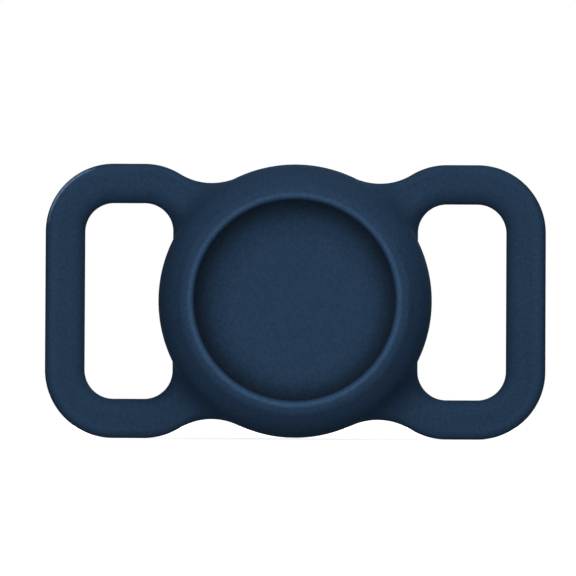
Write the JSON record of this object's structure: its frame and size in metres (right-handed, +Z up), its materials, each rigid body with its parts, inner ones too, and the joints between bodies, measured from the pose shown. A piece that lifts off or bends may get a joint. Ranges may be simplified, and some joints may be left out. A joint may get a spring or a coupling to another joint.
{
  "type": "tracker tag holder",
  "caption": "Soft silicone holder for a coin-shaped tracker tag: a round pocket with a stretch-over lip between two strap loops that bend back.",
  "frame": {"origin": "centre of the flat back face, behind the middle of the round pocket", "axes": "+X along the strap towards the right loop, +Y out of the back towards the strap, +Z up, so the pocket opens towards -Y"},
  "size_m": [0.0676, 0.0115, 0.037],
  "materials": {
    "silicone": "matte moulded silicone, navy"
  },
  "bodies": {
    "pocket": {"pocket_floor": "silicone", "pocket_wall": "silicone", "retaining_lip": "silicone", "upper_left_arm": "silicone", "upper_right_arm": "silicone", "lower_left_arm": "silicone", "lower_right_arm": "silicone", "upper_left_web": "silicone", "upper_right_web": "silicone", "lower_left_web": "silicone", "lower_right_web": "silicone"},
    "left_loop": {"left_strap_loop": "silicone"},
    "right_loop": {"right_strap_loop": "silicone"}
  },
  "joints": [
    {"name": "left_loop_bend", "type": "hinge", "parent": "pocket", "child": "left_loop", "pos_m": [-0.0195, -0.0015, 0], "axis": [0, 0, -1], "range_deg": [-30, 50], "stiffness_Nm_per_rad": 0.008, "deforming": ["upper_left_arm", "lower_left_arm", "upper_left_web", "lower_left_web"]},
    {"name": "right_loop_bend", "type": "hinge", "parent": "pocket", "child": "right_loop", "pos_m": [0.0195, -0.0015, 0], "axis": [0, 0, 1], "range_deg": [-30, 50], "stiffness_Nm_per_rad": 0.008, "deforming": ["upper_right_arm", "lower_right_arm", "upper_right_web", "lower_right_web"]}
  ]
}
